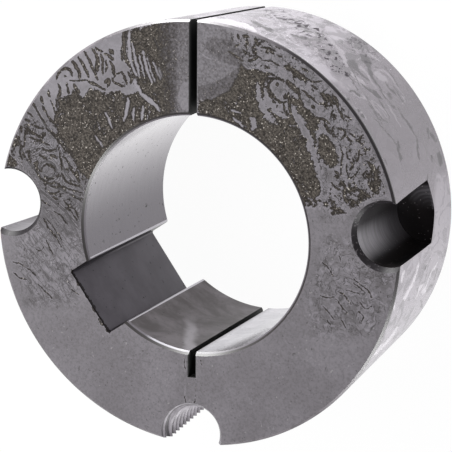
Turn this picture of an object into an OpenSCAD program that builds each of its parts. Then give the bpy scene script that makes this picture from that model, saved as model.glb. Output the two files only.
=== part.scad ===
// Taper bush: a split cast iron ring with a tapered outside. Screws draw it
// into a matching hub, where the taper closes its bore on a shaft.
// The bore axis is Z. The small end rests on z = 0, the large end faces up,
// and the keyway runs along the -Y side of the bore.

/* [Taper] */
// Length along the bore axis
length = 50.8; // [40:0.1:90]
// Diameter that the taper reaches at the large end
large_end_d = 107.95; // [104:0.05:140]
// Slope of the outside on each side of the axis, in degrees
taper_angle = 4; // [1:0.5:5]
// Bevel round the rim of the large end
large_rim_bevel = 0.55; // [0.2:0.05:2]
// Bevel round the rim of the small end
small_rim_bevel = 0.8; // [0.2:0.05:2]

/* [Bore and keyway] */
// Diameter of the shaft bore
bore_d = 60; // [30:1:65]
// Bevel at each mouth of the bore
bore_bevel = 0.9; // [0.2:0.05:2]
// Width of the keyway
keyway_w = 18; // [6:1:22]
// Depth of the keyway below the bore, on its centre line
keyway_depth = 4.7; // [2:0.1:8]
// Angle from the split round to the keyway, counter-clockwise from above
keyway_turn = 125; // [105:1:150]

/* [Split and relief slit] */
// Width of the split that runs right through the wall
split_w = 1.9; // [1:0.1:4]
// Width of the relief slit opposite the split
relief_w = 1.9; // [1:0.1:4]
// Depth of the relief slit below the bore
relief_depth = 6.6; // [2:0.1:9]
// How far the plane of the split, slit and jack thread lies off the bore axis
saw_offset = 0.5; // [0:0.1:1]

/* [Screw seats] */
// Diameter of each blind half-hole that a clamping screw presses into
seat_d = 16.2; // [10:0.1:20]
// Depth of each half-hole at its full diameter
seat_depth = 30.7; // [15:0.1:34]
// Angle of the cone that the drill leaves at the end of each half-hole
drill_point = 140; // [118:1:160]
// How far the middle of each half-hole lies inside the large end's rim
seat_inset = 3.175; // [2:0.005:5]
// Angle from the split to each half-hole
seat_turn = 85; // [70:1:95]
// Bevel at the mouth of each half-hole
seat_bevel = 0.95; // [0.2:0.05:1.5]

/* [Jack thread] */
// Major diameter of the threaded half-hole that pushes the bush out again
thread_d = 15.875; // [10:0.005:18]
// Distance from crest to crest, 11 threads to the inch
thread_pitch = 2.309; // [1.5:0.001:3]
// How far the middle of the thread lies inside the large end's rim
thread_inset = 2.575; // [2:0.005:4]
// How far the thread's countersink reaches past its major radius
countersink_rim = 0.26; // [0.1:0.01:1]
// Depth of the thread's countersink
countersink_depth = 2.8; // [0.5:0.1:4]
// Depth of the first full crest on the wall nearest the bore
first_crest = 3.3; // [1:0.1:6]

/* [Hidden] */

// Cuts run this far past the faces that they leave through
over = 2;
large_r = large_end_d / 2;
bore_r = bore_d / 2;
seat_r = seat_d / 2;
thread_r = thread_d / 2;
split_angle = 270 - keyway_turn;

// The Whitworth form, in pitches: the depth of a groove, and the width of the
// flat on a crest or in a root
form_depth = 0.64;
form_flat = 1 / 6;
thread_minor_r = thread_r - form_depth * thread_pitch;
// Each corner of one ridge and groove: its height in pitches, and its radius
thread_form = [
    [-form_flat / 2, thread_minor_r],
    [form_flat / 2, thread_minor_r],
    [1 / 2 - form_flat / 2, thread_r],
    [1 / 2 + form_flat / 2, thread_r]
];

$fn = 144;

// Radius of the tapered outside at height z
function taper_r(z) = large_r - (length - z) * tan(taper_angle);

// The ring before any slot or screw hole: one profile turned round Z
module tapered_ring() {
    rotate_extrude()
        polygon([
            [bore_r + bore_bevel, 0],
            [taper_r(small_rim_bevel) - small_rim_bevel, 0],
            [taper_r(small_rim_bevel), small_rim_bevel],
            [taper_r(length - large_rim_bevel), length - large_rim_bevel],
            [taper_r(length - large_rim_bevel) - large_rim_bevel, length],
            [bore_r + bore_bevel, length],
            [bore_r, length - bore_bevel],
            [bore_r, bore_bevel]
        ]);
}

// Puts its children where the split runs along +X and the jack thread lies
// on -X
module toward_split() {
    rotate([0, 0, split_angle])
        translate([0, saw_offset, 0])
            children();
}

module keyway_cut() {
    floor_r = bore_r + keyway_depth;
    translate([-keyway_w / 2, -floor_r, -over])
        cube([keyway_w, floor_r, length + 2 * over]);
}

module split_cut() {
    toward_split()
        translate([0, -split_w / 2, -over])
            cube([large_r + over, split_w, length + 2 * over]);
}

module relief_cut() {
    slit_end = bore_r + relief_depth;
    toward_split()
        translate([-slit_end, -relief_w / 2, -over])
            cube([slit_end, relief_w, length + 2 * over]);
}

// One blind drilled hole, half of which falls outside the taper: the point,
// the full radius and the bevel at the mouth, turned as one profile
module seat_cut(angle) {
    point_h = seat_r / tan(drill_point / 2);
    floor_z = length - seat_depth;
    rotate([0, 0, angle])
        translate([large_r - seat_inset, 0, 0])
            rotate_extrude()
                polygon([
                    [0, floor_z - point_h],
                    [seat_r, floor_z],
                    [seat_r, length - seat_bevel],
                    [seat_r + seat_bevel + over, length + over],
                    [0, length + over]
                ]);
}

// A threaded rod that runs past both ends: its ridges and grooves, turned
// round its own axis
module threaded_rod() {
    crests_below = ceil((length - first_crest + over) / thread_pitch);
    crests_above = ceil((first_crest + over) / thread_pitch);
    outline = [
        for (crest = [-crests_below : crests_above])
            for (corner = thread_form)
                [corner[1], length - first_crest + thread_pitch * (crest + corner[0])]
    ];
    foot = [0, outline[0][1]];
    head = [0, outline[len(outline) - 1][1]];
    rotate_extrude()
        polygon(concat([foot], outline, [head]));
}

module countersink() {
    slope = (thread_r + countersink_rim - thread_minor_r) / countersink_depth;
    rim_r = thread_r + countersink_rim + over * slope;
    cone_h = rim_r / slope;
    translate([0, 0, length + over - cone_h])
        cylinder(h = cone_h, r1 = 0, r2 = rim_r);
}

module jack_cut() {
    toward_split()
        translate([-(large_r - thread_inset), 0, 0]) {
            threaded_rod();
            countersink();
        }
}

module bush() {
    color([0.45, 0.44, 0.46])
        difference() {
            tapered_ring();
            keyway_cut();
            split_cut();
            relief_cut();
            seat_cut(split_angle + seat_turn);
            seat_cut(split_angle - seat_turn);
            jack_cut();
        }
}

bush();
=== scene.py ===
import math

import bpy
import numpy as np
from mathutils import Matrix, Vector


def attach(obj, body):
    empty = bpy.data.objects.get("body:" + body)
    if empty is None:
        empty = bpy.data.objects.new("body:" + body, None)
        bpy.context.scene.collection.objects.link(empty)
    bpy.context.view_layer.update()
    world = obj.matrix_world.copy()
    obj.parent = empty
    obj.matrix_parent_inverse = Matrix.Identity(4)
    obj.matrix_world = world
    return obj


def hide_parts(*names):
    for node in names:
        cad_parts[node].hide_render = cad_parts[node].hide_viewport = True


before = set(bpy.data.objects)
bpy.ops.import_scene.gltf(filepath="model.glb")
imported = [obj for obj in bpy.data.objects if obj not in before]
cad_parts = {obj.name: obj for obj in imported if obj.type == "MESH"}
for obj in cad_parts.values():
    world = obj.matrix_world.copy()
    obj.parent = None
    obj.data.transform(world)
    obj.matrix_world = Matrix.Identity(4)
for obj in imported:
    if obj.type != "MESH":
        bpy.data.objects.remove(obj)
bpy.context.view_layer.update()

MM = 0.001

# Sizes of the bush in millimetres, as in its solid
LENGTH = 50.8
LARGE_R = 53.975
TAPER = math.radians(4)
LARGE_RIM = 0.55
SMALL_RIM = 0.8
BORE_R = 30
BORE_BEVEL = 0.9
KEYWAY_W = 18
KEYWAY_DEPTH = 4.7
SPLIT_W = 1.9
RELIEF_DEPTH = 6.6
SAW_OFFSET = 0.5
SPLIT_ANGLE = math.radians(145)
SEAT_TURN = math.radians(85)
SEAT_R = 8.1
SEAT_DEPTH = 30.7
SEAT_INSET = 3.175
DRILL_POINT = math.radians(140)
THREAD_R = 7.9375
THREAD_PITCH = 2.309
THREAD_DEPTH = 0.64 * THREAD_PITCH
THREAD_INSET = 2.575
FIRST_CREST = 3.3
COUNTERSINK_R = 8.2
COUNTERSINK_DEPTH = 2.8

# Small forms that the solid leaves out: rounded edges, and a bevel off centre
SLOT_ROUNDING = 0.2
KEYWAY_ROUNDING = 0.6
KEYWAY_CORNER = 0.4
SEAT_BEVEL = 0.9
SEAT_BEVEL_SHIFT = 0.35
SEAT_BEVEL_TOWARD = SPLIT_ANGLE + math.radians(135)
# How far apart the painted tool rings in the countersink lie
COUNTERSINK_RING = 0.9

# The casting's mesh: columns, in degrees, lie closer together where the large face is marked,
# and each surface has its own spacing of rows, in millimetres
FINE_STEP = 0.5
COARSE_STEP = 1.5
FINE_FROM = 5
FINE_TO = 290
SPACING = {"face": 0.35, "outside": 1.25, "bore": 10, "rim": 0.3, "mouth": 0.3, "under": 4}
# The cutters' meshes: sides round the seats and the thread, and rows to a turn of the thread
HOLE_SIDES = 96
THREAD_SIDES = 80
ROWS_A_PITCH = 10
# Edges that turn by less than this angle are shaded smooth
SMOOTH_UNDER = math.radians(28)
# How far a cutter reaches past the casting
OVER = 3

# Stretches round the bore axis: the middle bearing, half the stretch and its fading, in degrees
MARKED_OUTSIDE = (78, 74, 10)
EVEN_OUTSIDE = (76, 30, 6)
# Where the rims, and a band of the outside next to the large rim, are painted dark as shade
PAINTED_SHADE_RIM = (72, 50, 8)
COMBED_FACE = (242, 26, 12)
DULL_BORE = (306, 19, 2)
# A stretch of the bore painted paler as a reflection
PAINTED_REFLECTION_BORE = (345, 19, 3)
# A stretch where the bevels at the bore's mouths are paler
PALER_MOUTH = (311, 10, 3)

# A patch that covers at least this much adds film, and any other takes film away
FILM = 2
# How much film covers the large face outside the patches
FULL_FILM = 4.0
# How many layers the marks of each kind are shared out over
LAYERS = {"film": 2, "dark": 4, "shade": 3, "pale": 2, "white": 1}
# A distance past every mark, in pixels
FAR = 99.0
# From this many pixels outside its edge, a mark gives way to others in its layer, and how steeply
CLEAR = 2
FADE = 4
# Marks share a layer freely if more than this many pixels lie between them
ROOMY = 2 * CLEAR + 2
# How many steps a smooth path takes from point to point
PATH_STEPS = 4
# How many pixels outside its outline a patch of each kind fades out in
SOFT = {"hazy": 6, "lined": 12, "swirled": 5, "paler": 8, "flecked": 2, "painted_reflection": 4}
# A vertex this close to a surface, in metres, lies on it
TOUCHING = 2e-5

# The camera, measured from the outlines of the two ends and the bore in the photograph
PICTURE = 452
AIM = Vector((2.3295, 8.7734, LENGTH)) * MM
CAMERA_BEARING = math.radians(85.4494)
CAMERA_HEIGHT = math.radians(64.665)
CAMERA_DISTANCE = 773.504 * MM
CAMERA_ROLL = math.radians(117.5973)
CAMERA_LENS = 249.56
SENSOR = 36

# A lamp's bearing and height in degrees, its distance and side in metres, and its power
LAMPS = {
    "back": (171, 12, 0.9, 0.3, 16),
    "right": (5, 18, 1.2, 0.5, 17),
    "left": (225, 55, 0.5, 0.35, 1.5),
}
# How far the floor reaches to each side, in metres, and how much of what shows of it is glow
FLOOR_REACH = 3
FLOOR_GLOW = 0.96
WORLD_STRENGTH = 0.35


def taper_r(z):
    """Radius of the tapered outside at height z."""
    return LARGE_R - (LENGTH - z) * math.tan(TAPER)


def polar(radius, angle):
    return radius * math.cos(angle), radius * math.sin(angle)


def show(name, data):
    """An object that holds some data, in the scene."""
    found = bpy.data.objects.new(name, data)
    bpy.context.scene.collection.objects.link(found)
    return found


def solid(name, vertices, faces, regions):
    """An object from points in millimetres; regions names the surface of each face.

    A cut keeps surfaces apart only while no two of them share a material."""
    mesh = bpy.data.meshes.new(name)
    mesh.from_pydata([(x * MM, y * MM, z * MM) for x, y, z in vertices], [], faces)
    for material in materials.values():
        mesh.materials.append(material)
    names = list(materials)
    mesh.polygons.foreach_set("material_index", [names.index(region) for region in regions])
    mesh.validate()
    return show(name, mesh)


def evenly(count):
    return [2 * math.pi * step / count for step in range(count)]


def turned(name, outline, regions, angles, centre=(0, 0)):
    """Turns an outline of (radius, height) points; one that starts on the axis also ends there."""
    on_axis = outline[0][0] == 0
    around = len(angles)
    vertices = []
    rows = []
    for radius, height in outline:
        if radius == 0:
            rows.append([len(vertices)] * around)
            vertices.append((centre[0], centre[1], height))
            continue
        rows.append(list(range(len(vertices), len(vertices) + around)))
        for angle in angles:
            x, y = polar(radius, angle)
            vertices.append((centre[0] + x, centre[1] + y, height))
    if not on_axis:
        rows.append(rows[0])
    faces = []
    face_regions = []
    for low, high, region in zip(rows, rows[1:], regions):
        for step in range(around):
            after = (step + 1) % around
            corners = [low[step], low[after], high[after], high[step]]
            faces.append(list(dict.fromkeys(corners)))
            face_regions.append(region)
    return solid(name, vertices, faces, face_regions)


def lofted(name, sections, region):
    """A closed skin over sections of equally many points."""
    count = len(sections[0])
    vertices = [point for section in sections for point in section]
    faces = [list(range(count - 1, -1, -1))]
    for level in range(len(sections) - 1):
        base = level * count
        for index in range(count):
            after = (index + 1) % count
            faces.append([base + index, base + after, base + count + after, base + count + index])
    top = (len(sections) - 1) * count
    faces.append(list(range(top, top + count)))
    return solid(name, vertices, faces, [region] * len(faces))


def cut(piece, cutter):
    """Takes the cutter out of the piece, and deletes it."""
    modifier = piece.modifiers.new("cut", "BOOLEAN")
    modifier.operation = "DIFFERENCE"
    modifier.solver = "MANIFOLD"
    modifier.object = cutter
    graph = bpy.context.evaluated_depsgraph_get()
    mesh = bpy.data.meshes.new_from_object(piece.evaluated_get(graph))
    piece.modifiers.clear()
    piece.data = mesh
    bpy.data.objects.remove(cutter)


def ring():
    """The turned ring, with its large face in fine steps."""
    corners = [
        (BORE_R + BORE_BEVEL, 0, "under"),
        (taper_r(SMALL_RIM) - SMALL_RIM, 0, "rim"),
        (taper_r(SMALL_RIM), SMALL_RIM, "outside"),
        (taper_r(LENGTH - LARGE_RIM), LENGTH - LARGE_RIM, "rim"),
        (taper_r(LENGTH - LARGE_RIM) - LARGE_RIM, LENGTH, "face"),
        (BORE_R + BORE_BEVEL, LENGTH, "mouth"),
        (BORE_R, LENGTH - BORE_BEVEL, "bore"),
        (BORE_R, BORE_BEVEL, "mouth"),
    ]
    outline = []
    regions = []
    for index, (radius, height, region) in enumerate(corners):
        next_radius, next_height, _ = corners[(index + 1) % len(corners)]
        span = math.hypot(next_radius - radius, next_height - height)
        count = math.ceil(span / SPACING[region])
        for step in range(count):
            share = step / count
            outline.append(
                (radius + (next_radius - radius) * share, height + (next_height - height) * share)
            )
            regions.append(region)
    fine = np.arange(FINE_FROM, FINE_TO, FINE_STEP)
    coarse = np.arange(FINE_TO, 360 + FINE_FROM, COARSE_STEP)
    angles = np.radians(np.concatenate([fine, coarse]))
    return turned("bush_casting", outline, regions, angles)


def levels():
    """Heights and growths of a slot's sections, which round its edge at the large face."""
    start = LENGTH - SLOT_ROUNDING
    found = [(-OVER, 0), (start, 0)]
    for step in (1, 2, 3):
        angle = math.pi / 2 * step / 3
        found.append((start + SLOT_ROUNDING * math.sin(angle), SLOT_ROUNDING * (1 - math.cos(angle))))
    found.append((LENGTH + OVER, SLOT_ROUNDING))
    return found


def keyway_cutter():
    """The keyway, with rounded edges where its sides meet the bore."""
    arc_steps = 6
    # Each arc runs on past the wall of the bore by this angle, in radians
    past = 0.2
    # The sections end inside the bore, this share of its radius from the axis
    inner_share = 0.8
    sections = []
    for height, grow in levels():
        half = KEYWAY_W / 2 + grow
        floor = BORE_R + KEYWAY_DEPTH + grow
        centre_x = half + KEYWAY_ROUNDING
        centre_y = -math.sqrt((BORE_R + KEYWAY_ROUNDING) ** 2 - centre_x**2)
        toward_bore = math.atan2(-centre_y, -centre_x)
        right = [(half - KEYWAY_CORNER, -floor), (half, -floor + KEYWAY_CORNER)]
        for step in range(arc_steps + 1):
            angle = math.pi + (toward_bore - past - math.pi) * step / arc_steps
            x, y = polar(KEYWAY_ROUNDING, angle)
            right.append((centre_x + x, centre_y + y))
        right.append((half, -BORE_R * inner_share))
        left = [(-x, y) for x, y in reversed(right)]
        sections.append([(x, y, height) for x, y in right + left])
    return lofted("keyway_cutter", sections, "keyway")


def saw_frame(along, across):
    """A point of the plane of the split: along it from the axis, and across it."""
    x, y = polar(along, SPLIT_ANGLE)
    shift_x, shift_y = polar(across + SAW_OFFSET, SPLIT_ANGLE + math.pi / 2)
    return x + shift_x, y + shift_y


def sawn_cutter(name, start, end):
    """A saw cut of the split's width between two distances along the split's plane."""
    sections = []
    for height, grow in levels():
        half = SPLIT_W / 2 + grow
        outline = [(start, -half), (end, -half), (end, half), (start, half)]
        sections.append([(*saw_frame(*point), height) for point in outline])
    return lofted(name, sections, "sawn")


def seat_cutters(angle):
    """A blind drilled hole, and the bevel that was cut round its mouth by hand."""
    centre = polar(LARGE_R - SEAT_INSET, angle)
    floor = LENGTH - SEAT_DEPTH
    point = SEAT_R / math.tan(DRILL_POINT / 2)
    top = LENGTH + OVER
    hole = [(0, floor - point), (SEAT_R, floor), (SEAT_R, top), (0, top)]
    bevel_r = SEAT_R + SEAT_BEVEL
    bevel = [(0, LENGTH - bevel_r), (bevel_r + OVER, top), (0, top)]
    shift = polar(SEAT_BEVEL_SHIFT, SEAT_BEVEL_TOWARD)
    bevel_centre = (centre[0] + shift[0], centre[1] + shift[1])
    return [
        turned("seat_cutter", hole, ["drilled"] * 3, evenly(HOLE_SIDES), centre),
        turned("seat_bevel_cutter", bevel, ["chamfer"] * 2, evenly(HOLE_SIDES), bevel_centre),
    ]


def thread_cutter():
    """A rod with a right-hand helical thread, longer than the bush at both ends."""
    centre = saw_frame(THREAD_INSET - LARGE_R, 0)
    turns = math.ceil((LENGTH + 2 * OVER) / THREAD_PITCH) + 1
    turns_above = 3
    rows = turns * ROWS_A_PITCH
    lowest = LENGTH - FIRST_CREST - (turns - turns_above) * THREAD_PITCH
    vertices = []
    for angle in evenly(THREAD_SIDES):
        rise = THREAD_PITCH * ((angle - SPLIT_ANGLE) / (2 * math.pi))
        for row in range(rows + 1):
            share = row / ROWS_A_PITCH
            radius = THREAD_R - THREAD_DEPTH * (0.5 + 0.5 * math.cos(2 * math.pi * share))
            x, y = polar(radius, angle)
            vertices.append((centre[0] + x, centre[1] + y, lowest + rise + THREAD_PITCH * share))

    def at(column, row):
        """The vertex of a column and row; a turn further on is a pitch higher."""
        turn, column = divmod(column, THREAD_SIDES)
        return column * (rows + 1) + row + ROWS_A_PITCH * turn

    last_column = THREAD_SIDES - 1
    faces = []
    for column in range(THREAD_SIDES):
        last = rows if column < last_column else rows - ROWS_A_PITCH
        for row in range(last):
            faces.append(
                [at(column, row), at(column + 1, row), at(column + 1, row + 1), at(column, row + 1)]
            )
    foot = len(vertices)
    vertices.append((*centre, lowest - OVER))
    head = len(vertices)
    vertices.append((*centre, lowest + THREAD_PITCH * turns + OVER))
    foot_loop = [at(column, 0) for column in range(THREAD_SIDES)]
    foot_loop += [at(0, row) for row in range(ROWS_A_PITCH, 0, -1)]
    head_loop = [at(column, rows) for column in range(THREAD_SIDES)]
    head_loop += [at(last_column, row) for row in range(rows - 1, rows - ROWS_A_PITCH - 1, -1)]
    for loop, tip, flip in ((foot_loop, foot, True), (head_loop, head, False)):
        for index, vertex in enumerate(loop):
            after = loop[(index + 1) % len(loop)]
            faces.append([after, vertex, tip] if flip else [vertex, after, tip])
    return solid("thread_cutter", vertices, faces, ["thread"] * len(faces))


def countersink_cutter():
    """The cone that leads a screw into the thread."""
    centre = saw_frame(THREAD_INSET - LARGE_R, 0)
    slope = (COUNTERSINK_R - THREAD_R + THREAD_DEPTH) / COUNTERSINK_DEPTH
    top = LENGTH + OVER
    outline = [(0, LENGTH - COUNTERSINK_R / slope), (COUNTERSINK_R + OVER * slope, top), (0, top)]
    return turned("countersink_cutter", outline, ["thread"] * 2, evenly(HOLE_SIDES), centre)


class Value:
    """What a node gives at each place of a surface. Arithmetic with it adds more nodes."""

    def __init__(self, paint, socket):
        self.paint = paint
        self.socket = socket

    def __add__(self, other):
        return self.paint.math("ADD", self, other)

    def __sub__(self, other):
        return self.paint.math("SUBTRACT", self, other)

    def __rsub__(self, other):
        return self.paint.math("SUBTRACT", other, self)

    def __mul__(self, other):
        return self.paint.math("MULTIPLY", self, other)

    def __abs__(self):
        return self.paint.math("ABSOLUTE", self)

    __radd__ = __add__
    __rmul__ = __mul__


class Paint:
    """Short calls that build one material's nodes. Lengths are in millimetres."""

    def __init__(self, name):
        self.material = bpy.data.materials.new(name)
        self.material.use_nodes = True
        self.tree = self.material.node_tree
        self.shader = self.tree.nodes["Principled BSDF"]
        metres = self.value("ShaderNodeTexCoord", output="Object")
        self.place = self.value("ShaderNodeVectorMath", metres, (1 / MM,) * 3, operation="MULTIPLY")

    def node(self, kind, inputs, **settings):
        """A new node with its settings, and with its inputs by number or by name."""
        node = self.tree.nodes.new(kind)
        for name, value in settings.items():
            setattr(node, name, value)
        for key, value in inputs.items():
            self.feed(value, node.inputs[key])
        return node

    def feed(self, value, socket):
        """Links a value to a socket, or sets the socket to a number or a colour."""
        if isinstance(value, Value):
            self.tree.links.new(value.socket, socket)
        elif isinstance(value, tuple) and len(socket.default_value) == 4:
            socket.default_value = (*value, 1)
        else:
            socket.default_value = value

    def value(self, kind, *inputs, output=0, **settings):
        """What a new node gives for its first inputs."""
        node = self.node(kind, dict(enumerate(inputs)), **settings)
        return Value(self, node.outputs[output])

    def math(self, operation, *values):
        return self.value("ShaderNodeMath", *values, operation=operation)

    def largest(self, first, *others):
        for other in others:
            first = self.math("MAXIMUM", first, other)
        return first

    def stretched(self, turn, sizes):
        """Places turned about the bore axis by some degrees, then divided by three sizes."""
        inputs = {"Vector": self.place, "Rotation": (0, 0, math.radians(turn)), "Scale": sizes}
        return Value(self, self.node("ShaderNodeMapping", inputs, vector_type="TEXTURE").outputs[0])

    def parts(self, vector):
        """The three parts of a vector."""
        node = self.node("ShaderNodeSeparateXYZ", {0: vector})
        return [Value(self, output) for output in node.outputs]

    def attribute(self, name):
        """The three parts of a mesh attribute."""
        return self.parts(self.value("ShaderNodeAttribute", output="Vector", attribute_name=name))

    def height(self):
        return self.parts(self.place)[2]

    def away_from(self, centre):
        """Distance from an upright axis through a centre."""
        x, y, _ = self.parts(self.place)
        x = x - centre[0]
        y = y - centre[1]
        return self.math("SQRT", x * x + y * y)

    def bearing(self, middle):
        """Degrees round the bore axis, counted from a middle bearing."""
        x, y, _ = self.parts(self.stretched(middle, (1, 1, 1)))
        return self.math("DEGREES", self.math("ARCTAN2", y, x))

    def within(self, middle, half, fade):
        """1 in a stretch round the bore axis, and 0 further off."""
        return self.spread(abs(self.bearing(middle)), half - fade, half + fade, 1, 0)

    def facing(self, bearing):
        """1 where the surface faces a level bearing, 0 where it faces up or down."""
        normal = self.value("ShaderNodeTexCoord", output="Normal")
        toward = (*polar(1, math.radians(bearing)), 0)
        node = self.node("ShaderNodeVectorMath", {0: normal, 1: toward}, operation="DOT_PRODUCT")
        return Value(self, node.outputs["Value"])

    def noise(self, size, detail=2, rough=0.5, place=None, warp=0):
        """Soft noise whose blobs are about the given size."""
        inputs = {
            "Vector": place or self.place,
            "Scale": 0.5 / size,
            "Detail": detail,
            "Roughness": rough,
            "Distortion": warp,
        }
        return Value(self, self.node("ShaderNodeTexNoise", inputs).outputs[0])

    def spread(self, value, low, high, first=0, last=1, ease="SMOOTHSTEP"):
        """Goes from one value to another while the input goes from low to high."""
        ends = (low, high, first, last)
        return self.value("ShaderNodeMapRange", value, *ends, interpolation_type=ease)

    def swing(self, reach, *noise, **more):
        """Noise about zero that seldom passes the reach on either side."""
        return self.spread(self.noise(*noise, **more), 0.25, 0.75, -reach, reach, "LINEAR")

    def contour(self, width, *noise, **more):
        """Thin lines, 1 along them and 0 elsewhere, where a noise crosses its middle."""
        return self.spread(abs(self.swing(1, *noise, **more)), 0, width, 1, 0)

    def cloud(self, *noise):
        """Noise that goes from 0 to 1."""
        return self.spread(self.noise(*noise), 0.35, 0.65)

    def mix(self, share, first, second):
        """A colour between two colours."""
        node = self.node("ShaderNodeMix", {0: share, 6: first, 7: second}, data_type="RGBA")
        return Value(self, node.outputs[2])

    def over(self, colour, *layers):
        """A colour with other colours laid over it, each given by its share and itself."""
        for share, its_colour in layers:
            colour = self.mix(share, colour, its_colour)
        return colour

    def bump(self, height, distance, strength):
        inputs = {"Strength": strength, "Distance": distance * MM, "Height": height}
        node = self.node("ShaderNodeBump", inputs)
        self.feed(Value(self, node.outputs[0]), self.shader.inputs["Normal"])

    def reflect(self, level, tint=(1, 1, 1)):
        """How strongly an unmetallic surface reflects, and in which tint."""
        self.feed(level, self.shader.inputs["Specular IOR Level"])
        self.feed(tint, self.shader.inputs["Specular Tint"])

    def finish(self, colour, roughness, metallic=0, ior=1.5):
        self.feed(colour, self.shader.inputs["Base Color"])
        self.feed(roughness, self.shader.inputs["Roughness"])
        self.feed(metallic, self.shader.inputs["Metallic"])
        self.feed(ior, self.shader.inputs["IOR"])
        return self.material


def inside_marks(paint, kind, grow, sway=0.8):
    """How far a place lies inside the drawn marks of a kind, in pixels of the photograph."""
    inside = -FAR
    wobble = paint.swing(sway, sway, 2)
    for layer in range(LAYERS[kind]):
        side, reach, _ = paint.attribute(f"{kind}_{layer}")
        inside = paint.largest(inside, reach - abs(side + wobble))
    return inside + paint.swing(0.6, 0.3) + grow


def even_film(paint):
    """The lavender of the phosphate film, with faint clouds."""
    return paint.mix(paint.cloud(6, 4, 0.55), (0.117, 0.107, 0.119), (0.143, 0.132, 0.147))


def face_paint():
    """The large face: a lavender phosphate film, missing in dark and oily patches."""
    paint = Paint("large_face")
    cover, haze, activity = paint.attribute("cover")
    guide, swirled, fresh = paint.attribute("swirl")

    # How far inside the film a place lies: the film's edges are ragged, and soft where it is hazy
    ragged = paint.swing(2.3, 1, 3, 0.6, warp=0.7) * (1 - haze)
    fine = paint.swing(1.5, 0.3, 2, 0.6) * (1 - 0.45 * haze)
    drawn = inside_marks(paint, "film", 0.1)
    bare = inside_marks(paint, "dark", 0.25)
    cover = paint.largest(cover + ragged + fine, drawn)
    cover = paint.math("MINIMUM", cover, -1.6 * bare)
    softness = 1.5 * haze + 0.6
    covered = paint.spread(cover, -1 * softness, softness)

    # The bare iron: mottled brown, blackest next to the film, with grains that sparkle
    mottle = paint.spread(paint.noise(0.27, 3, 0.7), 0.36, 0.66)
    beside_film = paint.spread(cover, -2.6, -0.9, 0, 0.7)
    sparkle = paint.spread(paint.noise(0.26, 1, 0.6), 0.66, 0.735) * (1 - 0.5 * haze)
    stain = paint.over(
        paint.mix(mottle, (0.023, 0.019, 0.016), (0.1, 0.088, 0.077)),
        (beside_film, (0.008, 0.006, 0.005)),
        (sparkle, (0.37, 0.34, 0.31)),
    )

    # The film: grainy, with blotches, pits, glints, paler parts and thin dark lines
    grain = paint.spread(paint.noise(0.32, 3, 0.7), 0.3, 0.6, 0.45, 0)
    blotch = paint.spread(paint.noise(1.7, 4, 0.65, warp=1), 0.56, 0.42, 0, 0.6)
    pits = paint.spread(paint.noise(0.4, 1), 0.7, 0.76, 0, 0.6)
    glints = paint.spread(paint.noise(0.45, 1), 0.72, 0.78, 0, 0.5)
    pale = paint.largest(
        paint.spread(paint.swing(1, 1.2, 3, 0.6, warp=1.2), 0.1, 0.6, 0, 0.4) * activity,
        0.32 * fresh,
        paint.spread(drawn, -0.6, 0.8, 0, 0.5),
        paint.spread(cover, 2.6, 0.8, 0, 0.28),
    )
    wave = paint.math("SINE", 2.1 * guide + paint.swing(1.7, 1.6, 2))
    combed = paint.contour(0.22, 0.55, 2, place=paint.stretched(8, (5, 1, 1)))
    line = paint.largest(
        paint.spread(wave, 0, 0.7) * swirled,
        paint.contour(0.12, 1.4, 3, 0.5, warp=1.5) * activity,
        0.8 * combed * activity * paint.within(*COMBED_FACE),
    )
    film = paint.over(
        even_film(paint),
        (grain, (0.05, 0.045, 0.048)),
        (blotch * paint.largest(activity, fresh), (0.058, 0.052, 0.056)),
        (pits, (0.03, 0.027, 0.028)),
        (glints, (0.26, 0.25, 0.255)),
        (pale, (0.24, 0.225, 0.255)),
        (0.8 * line, (0.032, 0.029, 0.029)),
    )

    paint.bump(paint.spread(cover, -1, 1) - line, 0.02, 0.4)
    paint.reflect(paint.spread(covered - 0.6 * line, 0, 1, 0.1, 0.5))
    return paint.finish(paint.mix(covered, stain, film), 0.45)


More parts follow.
